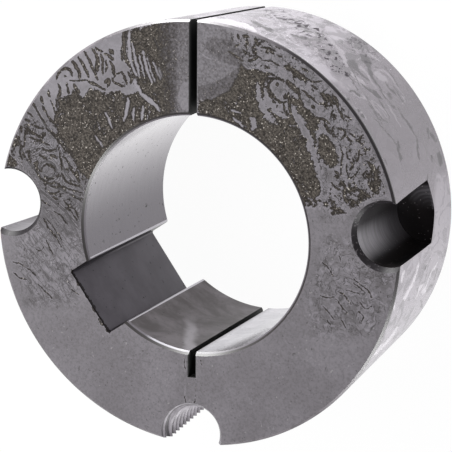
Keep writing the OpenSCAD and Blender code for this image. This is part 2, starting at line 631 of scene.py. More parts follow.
def outside_paint():
    """The tapered outside: turned, phosphated and oiled, with pale tide marks, and with painted
    reflections and a painted highlight.
    """
    paint = Paint("outside")
    # Tide marks: darker on one side of their edge, paler well inside the other
    uneven = paint.within(*MARKED_OUTSIDE) - paint.within(*EVEN_OUTSIDE)
    uneven = paint.largest(uneven, 0.2)
    tide = paint.swing(1, 3.6, 4, 0.55, paint.stretched(80, (1, 1, 1.8)), 1.8)
    low = paint.spread(tide, 0.02, -0.03) * uneven
    high = paint.spread(tide, 0.36, 0.4) * uneven
    tide_edge = paint.spread(abs(tide), 0, 0.06, 0.6, 0) * uneven
    grain = paint.spread(paint.noise(0.3, 2, 0.6), 0.3, 0.7, 0, 0.2)

    # The drawn patches and marks
    # bright is a painted reflection, dimmed where the tide is low
    flecked, bright, _ = paint.attribute("flecked")
    bright = bright * paint.spread(tide, -0.25, 0.05, 0.45, 1)
    flecks = paint.swing(1, 0.6, 3, 0.65, paint.stretched(0, (1, 1, 3)), 0.8)
    dark = paint.spread(flecks, 0.16, 0.24) * flecked
    shade = paint.spread(inside_marks(paint, "shade", 0, 1.2), -0.8, 0.9)
    # Pale streaks of the film, partly painted reflection
    pale = paint.spread(inside_marks(paint, "pale", 0, 1.8), -0.6, 1)
    # White marks: a painted highlight, and white streaks that are partly painted reflection
    white = paint.spread(inside_marks(paint, "white", 0, 1.2), -0.5, 0.9)
    # A painted shade: a thin dark band next to the large rim, in the stretch where the rims are painted
    # dark
    next_to_rim = paint.spread(paint.height(), LENGTH - LARGE_RIM - 0.7, LENGTH - LARGE_RIM - 0.5)
    stained = next_to_rim * paint.within(*PAINTED_SHADE_RIM)

    colour = (0.115, 0.099, 0.12)
    shine = 0.46
    for share, its_colour, its_shine in (
        (low, (0.07, 0.062, 0.074), 0.28),
        (high, (0.16, 0.148, 0.167), 0.58),
        (grain, (0.06, 0.054, 0.062), 0.46),
        (tide_edge, (0.21, 0.195, 0.216), 0.6),
        (bright, (0.27, 0.252, 0.282), 0.62),
        (pale, (0.2, 0.185, 0.207), 0.64),
        (shade, (0.042, 0.036, 0.044), 0.16),
        (dark, (0.03, 0.025, 0.031), 0.1),
        (white, (0.42, 0.4, 0.43), 0.6),
        (stained, (0.02, 0.017, 0.02), 0.2),
    ):
        colour = paint.mix(share, colour, its_colour)
        shine = paint.spread(share, 0, 1, shine, its_shine)
    paint.bump(tide, 0.04, 0.3)
    paint.reflect(shine, (1, 0.88, 1))
    return paint.finish(colour, paint.spread(dark, 0, 1, 0.24, 0.6), ior=1.8)


def rim_paint():
    """The bevels of both rims, painted dark as shade in one stretch and paler elsewhere."""
    paint = Paint("rim")
    light = paint.mix(paint.cloud(2, 3), (0.07, 0.062, 0.07), (0.13, 0.117, 0.13))
    return paint.finish(paint.mix(paint.within(*PAINTED_SHADE_RIM), light, (0.016, 0.013, 0.015)), 0.35)


def bore_paint():
    """The bore: a painted highlight away from the keyway, a painted reflection in one paler stretch,
    and dull between the keyway and the relief slit.
    """
    paint = Paint("bore")
    # A painted highlight, brightest away from the keyway
    painted_highlight = paint.spread(paint.bearing(180), 62, -22)
    cloud = paint.spread(paint.swing(1, 5, 5, 0.65, warp=0.5), -0.6, 0.8)
    scratches = paint.noise(0.35, 2, 0.6, paint.stretched(0, (12, 12, 1)))
    # A rubbed streak in the dull part, which leans over as it rises
    height = paint.height()
    streak = paint.spread(height, LENGTH - 27, LENGTH - 2, 0, 20, "LINEAR")
    beside = abs(paint.bearing(301.5) + paint.swing(2, 3, 3) - streak)
    rubbed = paint.spread(beside, 5, 0.5) * paint.spread(height, LENGTH - 27, LENGTH - 15, 0, 0.85)
    dull_colour = paint.mix(cloud, (0.062, 0.052, 0.055), (0.155, 0.138, 0.15))
    dull = paint.within(*DULL_BORE)
    colour = paint.over(
        paint.mix(painted_highlight, (0.17, 0.158, 0.176), (0.92, 0.89, 0.93)),
        (paint.within(*PAINTED_REFLECTION_BORE), paint.mix(cloud, (0.5, 0.485, 0.53), (0.7, 0.68, 0.73))),
        (paint.spread(scratches, 0.35, 0.7, 0, 0.12), (0.1, 0.094, 0.104)),
        (dull, paint.mix(rubbed, dull_colour, (0.34, 0.32, 0.345))),
        (paint.spread(paint.noise(0.4, 1), 0.71, 0.76), (0.03, 0.028, 0.03)),
    )
    return paint.finish(colour, paint.spread(dull, 0, 1, 0.16, 0.4), 1)


def mouth_paint():
    """The bevels at both mouths of the bore, stained brown next to the large face."""
    paint = Paint("mouth")
    stained = paint.spread(paint.height(), LENGTH - 0.7 * BORE_BEVEL, LENGTH - 0.5 * BORE_BEVEL)
    # Paler in one stretch of the mouths, but not next to the large face
    paler_stretch = paint.within(*PALER_MOUTH) * (1 - stained)
    colour = paint.over(
        (0.11, 0.101, 0.114), (stained, (0.025, 0.022, 0.022)), (paler_stretch, (0.4, 0.39, 0.425))
    )
    return paint.finish(colour, 0.4)


def under_paint():
    """The small face, under an even film."""
    paint = Paint("under")
    return paint.finish(even_film(paint), 0.45)


def keyway_paint():
    """The broached keyway: a painted highlight on its edges at the bore, and near black along its front
    edge and on one side.
    """
    paint = Paint("keyway")
    across, along, height = paint.parts(paint.place)
    side = paint.spread(across, 0.02 - KEYWAY_W / 2, -KEYWAY_W / 2)
    front = paint.spread(height + paint.swing(0.9, 0.6, 3, 0.6), LENGTH - 0.95, LENGTH - 0.7)
    edge_start = -math.sqrt(BORE_R**2 - (KEYWAY_W / 2) ** 2) - 0.4
    colour = paint.over(
        paint.mix(paint.cloud(4, 4, 0.6), (0.068, 0.062, 0.072), (0.084, 0.077, 0.089)),
        (paint.spread(paint.noise(0.6, 1), 0.7, 0.76), (0.02, 0.018, 0.02)),
        # Near black along the front edge and on one side
        (paint.largest(side, front), (0.012, 0.01, 0.011)),
        # A painted highlight on the rounded edges where the keyway meets the bore
        (paint.spread(along, edge_start, edge_start + 0.15), (0.5, 0.48, 0.52)),
    )
    return paint.finish(colour, 0.35, 1)


def sawn_paint():
    """The sawn faces, nearly black: painted shade inside the narrow cuts."""
    return Paint("sawn").finish((0.008, 0.008, 0.008), 0.6)


def drilled_paint():
    """The screw seats: oily black and darkened further as painted shade, with painted light on the wall
    next to the bore, and rings from the drill.
    """
    paint = Paint("drilled")
    seat_middle = LARGE_R - SEAT_INSET
    across, _, height = paint.parts(paint.place)
    # Painted light: grey on the wall next to the bore, and in the second seat where it faces the
    # split's way
    wall = paint.spread(paint.away_from((0, 0)), seat_middle - 3.5, seat_middle - SEAT_R)
    wall = wall * paint.spread(paint.facing(98), 0.55, 1, 0.12, 1)
    west_wall = paint.spread(across, 1, -1) * paint.spread(paint.facing(145), 0.4, 0.9, 0, 0.4)
    wall = paint.largest(wall, west_wall) * paint.spread(height, LENGTH - 26, LENGTH - 8, 0.3, 1)
    # Grey rings as painted light on one side of the cone at the first seat's end
    cone = paint.spread(height, LENGTH - SEAT_DEPTH, LENGTH - SEAT_DEPTH - 0.1)
    cone = cone * paint.spread(paint.facing(310), -0.05, 0.32, 0, 0.4)
    from_middle = paint.away_from(polar(seat_middle, SPLIT_ANGLE - SEAT_TURN))
    turned_rings = paint.math("SINE", 6 * from_middle + paint.swing(2, 1.5))
    cone = cone * paint.spread(turned_rings, -1, 1, 0.5, 0.85) * paint.spread(from_middle, 7.5, 5)
    light = paint.largest(wall, cone)
    rings = paint.noise(0.5, 2, 0.6, paint.stretched(0, (9, 9, 1)))
    colour = paint.over(
        (0.006, 0.005, 0.005),
        (light, (0.3, 0.285, 0.315)),
        (paint.spread(rings, 0.35, 0.65, 0, 0.35), (0.012, 0.01, 0.011)),
        (paint.spread(paint.noise(0.3, 1, 0.6), 0.7, 0.76), (0.16, 0.145, 0.15)),
    )
    paint.reflect(paint.spread(light, 0, 1, 0.12, 0.6), (1, 0.93, 1))
    return paint.finish(colour, 0.35)


def chamfer_paint():
    """The bevels round the seats' mouths, cut by hand and blackened."""
    paint = Paint("chamfer")
    flecks = paint.spread(paint.noise(0.4, 2, 0.6), 0.58, 0.72)
    paint.reflect(0.12)
    return paint.finish(paint.mix(flecks, (0.016, 0.014, 0.016), (0.09, 0.082, 0.09)), 0.4)


def thread_paint():
    """The thread: its crests cut through the film to paler metal, its grooves darkened as painted
    shade.
    """
    paint = Paint("thread")
    depth = paint.away_from(saw_frame(THREAD_INSET - LARGE_R, 0))
    height = paint.height()
    # Painted shade deep in the thread's grooves, and dark turned rings in the countersink
    groove_shade_and_rings = paint.spread(depth, THREAD_R - 0.8 * THREAD_DEPTH, THREAD_R - 0.35 * THREAD_DEPTH)
    cone = paint.spread(height, LENGTH - COUNTERSINK_DEPTH, LENGTH - COUNTERSINK_DEPTH + 0.1)
    wave = paint.math("SINE", 2 * math.pi / COUNTERSINK_RING * height)
    groove_shade_and_rings = groove_shade_and_rings * (1 - cone) + paint.spread(wave, -0.2, 0.6, 0.1, 0.75) * cone
    crest = paint.mix(paint.cloud(1.2, 2), (0.2, 0.185, 0.205), (0.3, 0.28, 0.31))
    return paint.finish(paint.mix(groove_shade_and_rings, crest, (0.008, 0.007, 0.008)), 0.5)


# The surfaces that get a material each
materials = {
    "face": face_paint(),
    "outside": outside_paint(),
    "rim": rim_paint(),
    "bore": bore_paint(),
    "mouth": mouth_paint(),
    "under": under_paint(),
    "keyway": keyway_paint(),
    "sawn": sawn_paint(),
    "drilled": drilled_paint(),
    "chamfer": chamfer_paint(),
    "thread": thread_paint(),
}


def add_camera():
    level = math.cos(CAMERA_HEIGHT)
    back = Vector((*polar(level, CAMERA_BEARING), math.sin(CAMERA_HEIGHT)))
    level_right = Vector((0, 0, 1)).cross(back).normalized()
    level_up = back.cross(level_right)
    up = math.cos(CAMERA_ROLL) * level_up + math.sin(CAMERA_ROLL) * level_right
    turn = Matrix((up.cross(back), up, back)).transposed().to_4x4()
    data = bpy.data.cameras.new("camera")
    data.sensor_width = SENSOR
    data.lens = CAMERA_LENS
    data.clip_start = 0.05
    data.clip_end = 10
    found = show("camera", data)
    found.matrix_world = Matrix.Translation(AIM + back * CAMERA_DISTANCE) @ turn
    bpy.context.scene.camera = found
    bpy.context.view_layer.update()
    return found


def in_picture(points):
    """Where points in metres show in the photograph, in its pixels."""
    to_camera = np.array(camera.matrix_world.inverted())
    seen = points @ to_camera[:3, :3].T + to_camera[:3, 3]
    scale = CAMERA_LENS / SENSOR * PICTURE
    across = PICTURE / 2 + scale * seen[:, 0] / -seen[:, 2]
    down = PICTURE / 2 - scale * seen[:, 1] / -seen[:, 2]
    return np.stack([across, down], axis=1)


# Stains on the large face, drawn over the photograph, in its pixels.
# A patch is how much film covers it, then its outline. Less than 0 is bare. The patches are
# laid one after the other, in this order.
PATCHES = [
    # left of the split, down to the bore and round to the keyed side
    (-2, (126, 31), (150, 25), (158, 24), (159, 60), (165, 80), (167, 112), (154, 124), (138, 132),
     (124, 142), (110, 156), (100, 170), (92, 182), (80, 172), (74, 160), (68, 148), (60, 136),
     (53, 122), (57, 108), (58, 98), (66, 98), (73, 92), (76, 89), (80, 95), (84, 97), (88, 90),
     (92, 88), (100, 91), (106, 94), (112, 90), (119, 91), (128, 95), (139, 92), (135, 84),
     (130, 70), (127, 55)),
    # left of the split, where the film thins out away from it
    (-1.6, (150, 22), (163, 22), (165, 60), (171, 84), (172, 118), (150, 118)),
    (-1.1, (150, 22), (170, 22), (171, 60), (174, 84), (175, 100), (177, 118), (150, 118)),
    (-0.7, (150, 22), (178, 22), (177, 60), (177, 84), (176, 96), (179, 118), (150, 118)),
    (0, (150, 22), (190, 22), (190, 80), (181, 84), (178, 92), (178, 104), (182, 110), (190, 112),
     (190, 116), (150, 118)),
    (0.9, (181, 84), (190, 80), (190, 112), (182, 110), (178, 104), (178, 92)),
    # right of the split
    (0.4, (198, 20), (215, 24), (230, 32), (236, 44), (240, 60), (240, 76), (228, 98), (198, 104)),
    (-0.2, (203, 44), (214, 38), (232, 40), (244, 56), (240, 68), (224, 62), (211, 54)),
    (-0.4, (198, 86), (212, 84), (226, 76), (240, 66), (236, 84), (228, 98), (198, 104)),
    # right of the split, along the bore
    (-2.2, (198, 102), (212, 98), (228, 90), (238, 72), (240, 62), (250, 68), (262, 71), (275, 75),
     (288, 82), (297, 90), (303, 99), (318, 112), (322, 124), (312, 126), (318, 140), (316, 150),
     (320, 168), (322, 192), (314, 199), (296, 198), (280, 172), (262, 150), (246, 136), (224, 126),
     (198, 122)),
    # at the left rim
    (-1.5, (8, 150), (12, 140), (17, 143), (15, 155), (17, 166), (7, 166)),
    # marbled: between the arc and the right rim, along that rim, and on the left
    (0.9, (228, 32), (262, 36), (300, 58), (330, 92), (345, 110), (326, 112), (300, 84), (262, 66),
     (244, 62)),
    (0.6, (320, 92), (345, 110), (366, 140), (380, 168), (384, 196), (350, 208), (326, 205),
     (334, 180), (338, 160), (330, 130)),
    (0.9, (20, 118), (55, 122), (70, 150), (90, 182), (80, 214), (52, 200), (30, 166), (14, 160)),
    # tongues of film right of the split
    (3, (258, 83), (260.5, 90), (261, 98), (265, 106), (270, 114), (277, 121), (272, 123), (266, 118),
     (260, 110), (257, 100), (256.5, 91)),
    (3, (266, 77), (266.5, 86), (267.5, 93), (271, 100), (276, 107), (283, 113), (287, 118), (280, 118),
     (272, 112), (266, 104), (264.5, 96), (264.5, 86)),
    (3, (270, 80), (276, 79), (283, 81), (289, 86), (294, 92), (298, 99), (295, 101), (290, 97),
     (285, 93), (283, 97), (286, 102), (285, 112), (281, 111), (276, 103), (272, 96), (269, 88)),
    (3, (262, 67), (275, 70), (287, 75), (297, 82), (306, 91), (314, 100), (322, 110), (326, 118),
     (320, 119), (311, 112), (303, 105), (301, 98), (299, 91), (292, 84), (284, 78), (274, 74.5),
     (263, 72)),
    (3, (286, 99), (290, 103), (296, 110), (301, 117), (305, 124), (309, 131), (312, 139), (315, 148),
     (319, 158), (322, 170), (324, 182), (323, 190), (320, 184), (317, 172), (312, 160), (308, 148),
     (304, 137), (299, 127), (293, 118), (288, 110)),
    (2, (249, 116), (254, 119), (257, 128), (252, 130)),
    # bare places between and beyond them
    (-2.5, (288, 81), (294, 84), (299, 90), (301, 98), (298, 99), (295, 93), (290, 87)),
    (-2.5, (292, 95), (298, 101), (306, 109), (313, 117), (319, 122), (318, 129), (314, 134),
     (309, 129), (304, 120), (298, 112), (293, 104)),
    (-2.5, (316, 139), (323, 133), (330, 137), (334, 146), (338, 155), (337, 164), (331, 168),
     (325, 163), (318, 152)),
    (-0.8, (283, 65), (291, 66), (300, 73), (310, 80), (306, 83), (298, 79), (290, 73)),
    (-0.5, (320, 92), (328, 94), (336, 104), (332, 106), (324, 101)),
    (-0.5, (348, 192), (356, 186), (366, 190), (372, 198), (364, 202), (352, 206), (344, 200)),
    (-0.7, (366, 176), (372, 168), (380, 172), (382, 186), (378, 196), (370, 190)),
    (-0.7, (330, 207), (340, 206), (346, 213), (334, 215)),
    (-0.3, (302, 200), (318, 200), (332, 204), (320, 208), (304, 206)),
]
# Where the film thins out evenly instead
HAZY_PATCHES = [
    (1, (158, 18), (190, 18), (190, 118), (166, 118), (160, 90)),
    (1, (198, 18), (222, 22), (232, 40), (244, 64), (240, 84), (230, 96), (198, 98)),
]
# Where the film is paler
PALE_PATCHES = [
    (1, (40, 84), (62, 60), (96, 42), (122, 33), (126, 50), (112, 66), (92, 78), (68, 84), (56, 96)),
    (0.4, (30, 92), (62, 60), (96, 42), (125, 32), (134, 62), (138, 80), (132, 96), (88, 90),
     (60, 100), (50, 120)),
    (0.4, (198, 44), (216, 48), (214, 70), (234, 70), (228, 96), (198, 98)),
    (0.5, (14, 118), (50, 118), (95, 165), (88, 182), (84, 240), (72, 290), (30, 290), (20, 250),
     (40, 200)),
]
# Where thin wavy lines show in the film
LINED_PATCHES = [
    (1, (20, 120), (60, 130), (95, 165), (84, 235), (70, 300), (30, 300), (20, 240), (40, 200)),
    (1, (330, 240), (392, 250), (390, 300), (370, 330), (318, 330), (312, 296)),
    (1, (230, 40), (300, 60), (345, 110), (384, 170), (384, 210), (326, 215), (322, 120), (250, 66)),
]
# Where the lines follow guides, at even distances from the nearest one
SWIRLED_PATCHES = [
    (1, (22, 118), (34, 98), (50, 118), (70, 138), (92, 160), (90, 182), (82, 210), (76, 232),
     (56, 240), (40, 222), (46, 205), (38, 185), (26, 168), (12, 165), (14, 140)),
]
GUIDES = [
    ((28, 96), (38, 112), (47, 127), (64, 143), (90, 158)),
    ((20, 126), (20, 142), (26, 158), (36, 171), (48, 184), (62, 190), (84, 200)),
    ((40, 171), (41, 164), (48, 161), (55, 166), (56, 173), (50, 178), (44, 175)),
    ((60, 150), (62, 163), (68, 176), (82, 188)),
    ((68, 152), (78, 160), (90, 174)),
    ((40, 190), (52, 200), (66, 212), (80, 230)),
    ((34, 214), (46, 232), (58, 250)),
]

# A mark is its half-width, or its half-widths at the start and the end, then the points of
# its path
FILM_MARKS = [
    # streaks left of the split
    (1.6, 1.1, (129, 33), (129, 45), (130, 57), (133, 67), (137, 76)),
    (0.9, 1.3, (132.5, 43), (134, 55), (137, 66), (139, 77)),
    (0.7, 0.9, (139, 55), (142, 67), (145, 77)),
    (1.1, 1.2, (142.5, 51), (145, 62), (148, 72), (152, 83)),
    (0.7, (147, 57), (151, 71), (155, 82)),
    (0.9, 0.7, (153.5, 62), (157, 71), (160, 79)),
    (0.5, (159, 68), (161.5, 77)),
    (1.3, 2.2, (134, 80), (137, 86), (141, 93)),
    (2.2, 1.4, (141, 94), (148, 99), (155, 105), (160, 111)),
    (1.6, 1.3, (128, 98), (128, 105), (126, 113), (124, 121)),
    (1.1, (134, 108), (133, 120)),
    (1.3, 1.2, (143, 106), (142, 120)),
    (1.0, 0.8, (105, 112), (109, 120), (112, 128)),
    (0.8, (95, 136), (99, 142), (103, 147)),
    # wisps right of the split
    (0.8, 0.9, (243, 64), (247, 67), (253, 68.5), (259, 66), (263, 63)),
    (0.9, 0.7, (231, 110), (236, 111), (241, 113)),
    (0.8, (233, 118), (238, 122), (243, 127)),
    (0.8, (200, 52), (206, 57), (212, 60)),
    (0.7, (268, 76), (275, 77)),
    (1.2, 1.0, (234, 53), (239, 58), (243, 60)),
]

DARK_MARKS = [
    # the fan below the upper left rim
    (1.2, 1.3, (56.5, 79), (58, 74), (61, 70), (66, 68), (70, 70), (72, 76)),
    (0.9, (64, 76), (66, 77)),
    (0.8, 1.0, (67, 82), (67.5, 89), (69, 94)),
    (1.0, 1.6, (58, 84), (60, 92), (58, 98)),
    (1.4, 1.8, (72.5, 61), (76, 66), (79, 73), (80, 79)),
    (1.2, 1.6, (78, 56.5), (82, 63), (86, 70), (89, 77)),
    (1.1, 1.4, (84, 51), (88, 58), (92, 66), (95, 73), (98, 80)),
    (1.6, 2.4, (92, 49), (96, 54), (98, 60), (97, 66), (97, 71)),
    (1.2, (101, 54), (103, 61), (102, 68), (103, 75)),
    (0.9, (106, 60), (107, 66), (105.5, 72)),
    (1.4, 1.3, (110, 61), (113, 67), (114, 75)),
    (0.9, 1.0, (95, 47), (99, 50.5), (103, 51)),
    (1.2, 1.6, (104, 54), (109, 56), (114, 60)),
    (2.6, 2.2, (110, 50), (113, 54)),
    (2.2, 2.0, (124, 31), (124, 42), (124, 51), (126, 59), (130, 67)),
    (1.0, (121, 50), (122, 61)),
    (0.7, 0.8, (70, 81), (79, 80.5), (88, 80)),
    (1.0, 1.5, (86, 80), (92, 83), (98, 86), (105, 90)),
    (1.8, 2.0, (105, 83), (109, 80), (108, 87)),
    (0.7, 0.8, (113, 78), (117, 74), (122, 71)),
    (1.1, 1.2, (122, 72), (125, 78), (127, 85)),
    (1.2, 1.4, (112, 77), (114, 82), (119, 84), (124, 87)),
    (1.6, 2.2, (74, 84), (76, 88), (79, 93)),
    (1.0, 1.4, (128, 72), (131, 78), (131, 84)),
    # the left side, above the screw seat
    (0.9, (48, 90), (50, 97)),
    (0.9, (41, 96), (43, 104)),
    (0.9, 1.0, (42, 106), (46, 113)),
    (0.8, 0.9, (50, 100), (54, 108), (55, 113)),
    (0.9, (56, 99), (57, 108)),
    (1.0, 0.9, (33, 103), (36, 109)),
    (0.8, (36, 110), (40, 116), (45, 124)),
    (1.1, (47, 113), (50, 119), (55, 124)),
    (1.0, (27, 112), (33, 117)),
    (0.9, (26, 119), (30, 122)),
    (0.8, 0.9, (31, 124), (38, 127), (44, 129)),
    (1.2, 1.0, (28, 130), (35, 134), (42, 137), (46, 133)),
    (0.8, (20, 124), (22, 133)),
    (1.1, (16, 135), (18.5, 146)),
    (0.8, (25, 130), (25, 146)),
    (0.8, (29, 137), (40, 141), (50, 146)),
    (0.7, (45, 128), (52, 134), (60, 142), (70, 149)),
    (0.7, (51, 131), (60, 138), (72, 145)),
    # the left side, level with the seat
    (0.7, (21, 144), (20, 152), (22, 160)),
    (0.8, (30, 150), (29, 157), (31, 163)),
    (1.6, 1.3, (34, 164), (37, 162), (36, 167), (40, 171)),
    (0.9, (42, 148), (49, 151), (56, 149)),
    (0.9, (39, 155), (47, 160)),
    (1.3, (50, 155), (57, 158)),
    (0.8, (46, 163), (53, 168)),
    (0.8, (35, 170), (40, 177), (48, 183), (56, 182)),
    (0.6, (41, 172), (43, 167), (48, 164), (53, 166), (55, 171)),
    (0.6, (44, 176), (48, 179), (54, 178)),
    (0.8, (60, 152), (61, 162), (62, 170)),
    (0.7, (65, 158), (70, 165), (73, 171)),
    (1.0, (62, 173), (66, 181), (74, 185), (81, 186)),
    (1.0, 1.2, (70, 168), (75, 174), (80, 182)),
    (1.4, (76, 171), (78, 176)),
    (2.0, 2.2, (84, 169), (89, 178)),
    (0.8, (73, 160), (80, 168), (88, 173)),
    (0.9, (77, 150), (86, 158), (91, 164)),
    (0.7, (62, 147), (72, 156), (82, 166)),
    (0.7, (57, 140), (66, 150), (78, 160)),
    (0.8, (48, 192), (54, 194), (60, 191)),
    (1.0, (52, 197), (58, 199)),
    (0.6, (50, 186), (58, 187)),
    (0.6, (62, 186), (72, 190), (82, 193)),
    (0.6, (70, 195), (80, 200)),
    (0.5, (63, 200), (68, 205), (75, 210), (78, 218)),
    (0.43, (66, 207), (72, 213), (77, 221)),
    (0.43, (54, 211), (60, 215), (67, 224)),
    (0.37, (42, 200), (50, 206)),
    (0.43, (43, 218), (50, 229), (58, 240), (62, 248)),
    (0.31, (47, 220), (56, 231), (62, 240)),
    (0.43, (46, 240), (50, 249), (54, 256)),
    (0.37, (36, 249), (41, 251), (43, 247)),
    (0.37, (13, 262), (20, 264), (30, 270), (36, 276)),
    (0.37, (14, 272), (20, 278), (27, 279)),
    (0.5, (66, 281), (71, 284)),
    (0.37, (38, 284), (46, 292), (52, 299)),
    (0.37, (71, 290), (80, 295)),
    # chips along the keyway
    (0.8, (71, 270), (74, 275)),
    (0.7, 0.9, (77, 281), (79, 286)),
    (0.6, (85, 295), (87, 298)),
    (0.8, (92, 306), (95, 312)),
    (0.7, (99, 319), (103, 326)),
    (0.9, (106, 330), (110, 333)),
    # blobs and curls right of the split
    (1.4, (243, 36), (249, 37)),
    (1.5, 1.3, (247, 39), (248, 45)),
    (1.8, 1.6, (255, 39), (258, 46)),
    (0.9, (238, 34), (239, 39)),
    (0.9, (231, 37), (233, 41)),
    (1.0, 1.2, (234, 47), (240, 44)),
    (1.6, (228, 51), (236, 56), (243, 61)),
    (0.8, (261, 47), (268, 48), (276, 51)),
    (0.7, (252, 51), (257, 56), (262, 59)),
    (1.0, (243, 50), (247, 53)),
    (1.1, (270, 50), (274, 54)),
    (1.5, (248, 61), (254, 60), (258, 57)),
    (0.7, (261, 60), (271, 61), (280, 66)),
    (0.8, (265, 66), (270, 68)),
    (1.5, 1.8, (285, 68), (291, 69)),
    (1.9, 1.7, (291, 68), (296, 72), (303, 77)),
    (1.2, (302, 68), (308, 72)),
    (1.7, 1.5, (277, 83), (278, 86)),
    (1.0, (268, 82), (270, 90), (275, 98), (281, 103), (287, 101)),
    (1.0, (262.5, 80), (262, 88), (263, 96)),
    (1.4, 1.5, (288, 92), (289, 101), (290, 111), (294, 120)),
    (1.0, (283, 103), (285, 112)),
    (1.4, 1.2, (292, 84), (298, 91), (300, 98)),
    # inside the right rim
    (1.6, (320, 93), (325, 97), (328, 101)),
    (1.5, (327, 94), (330, 98), (333, 104)),
    (1.8, 1.4, (333, 95), (337, 102), (338, 108)),
    (1.1, 1.0, (311, 85), (315, 88), (318, 89)),
    (0.7, (310, 81), (316, 82), (322, 81)),
    (1.0, (302, 90), (308, 95), (313, 99), (318, 104)),
    (0.9, (318, 104), (323, 104), (327, 109)),
    (1.3, 1.2, (312, 105), (314, 109)),
    (0.8, (333, 110), (331, 117)),
    (1.3, 1.2, (338, 108), (341, 114), (343, 119)),
    (0.8, (336, 115), (334, 120)),
    (1.3, 1.2, (317, 118), (324, 120), (330, 124)),
    (1.1, 1.0, (324, 122), (328, 130), (330, 134)),
    (0.7, (334, 126), (331, 134)),
    (1.3, 1.2, (338, 128), (344, 130), (345, 134), (341, 140)),
    (1.0, (346, 135), (349, 140), (353, 141)),
    (0.9, (350, 133), (355, 138)),
    (0.7, (340, 148), (342, 156), (341, 166), (341, 176)),
    (0.7, (346, 152), (348, 158), (350, 160)),
    (0.8, (359, 150), (359, 157), (357, 162)),
    (1.2, (350, 162), (353, 165), (350, 170)),
    (0.6, (360, 168), (356, 174), (350, 178), (347, 172), (347, 163)),
    (1.7, 2.0, (368, 161), (373, 168), (376, 176), (374, 185)),
    (1.0, (379, 166), (377, 173), (379, 180)),
    (1.5, (368, 181), (371, 188), (376, 193)),
    (0.7, (366, 171), (363, 176), (366, 180)),
    (2.0, (377, 185), (376, 192)),
    (1.1, (335, 171), (339, 174)),
    (1.1, (331, 182), (336, 188), (340, 190)),
    (1.5, 1.6, (341, 181), (345, 187), (344, 195), (347, 203)),
    (1.2, (348, 188), (355, 190)),
    (1.6, (360, 190), (366, 195), (371, 197)),
    (1.4, (352, 200), (357, 204)),
    (1.3, 1.5, (330, 208), (337, 209), (344, 213)),
    (1.0, (331, 212), (334, 215)),
    # thin scratches on the right, below the screw seat
    (0.3, (339, 256), (341, 262)),
    (0.3, (322, 262), (329, 269), (333, 277)),
    (0.3, (353, 279), (360, 284), (368, 290), (372, 298)),
    (0.3, (353, 283), (360, 288), (366, 293)),
    (0.25, (346, 290), (355, 292), (362, 297)),
    (0.3, (338, 291), (345, 296), (351, 305)),
    (0.25, (320, 295), (328, 298), (334, 297)),
    (0.3, (336, 299), (342, 307), (348, 314)),
    (0.3, (360, 302), (366, 309), (372, 306)),
    (0.3, (358, 311), (364, 317), (361, 322)),
    (0.25, (322, 305), (330, 314), (334, 320)),
    (0.25, (327, 320), (331, 326)),
    (0.25, (342, 320), (346, 328)),
    # round the relief slit and down to the thread
    (0.2, 0.3, (185, 380), (185, 392), (186, 404)),
    (0.2, 0.3, (195, 378), (196, 390), (194, 403)),
    (0.3, 0.2, (183, 346), (184, 360), (185, 372)),
    (0.4, 0.2, (200, 360), (202, 366)),
]

# Marks on the tapered outside
FLECKED_PATCHES = [
    (1, (320, 45), (330, 44), (336, 50), (341, 59), (346, 70), (350, 79), (343, 73), (335, 72),
     (328, 66), (323, 57)),
    (1, (286, 18), (304, 22), (322, 30), (327, 40), (312, 36), (296, 31)),
    (0.8, (264, 10), (284, 11), (288, 21), (268, 19)),
    (0.45, (344, 38), (356, 37), (370, 46), (381, 60), (377, 68), (364, 62), (352, 50)),
    (0.35, (250, 16), (276, 20), (300, 32), (322, 38), (324, 66), (306, 56), (280, 40), (258, 28)),
]
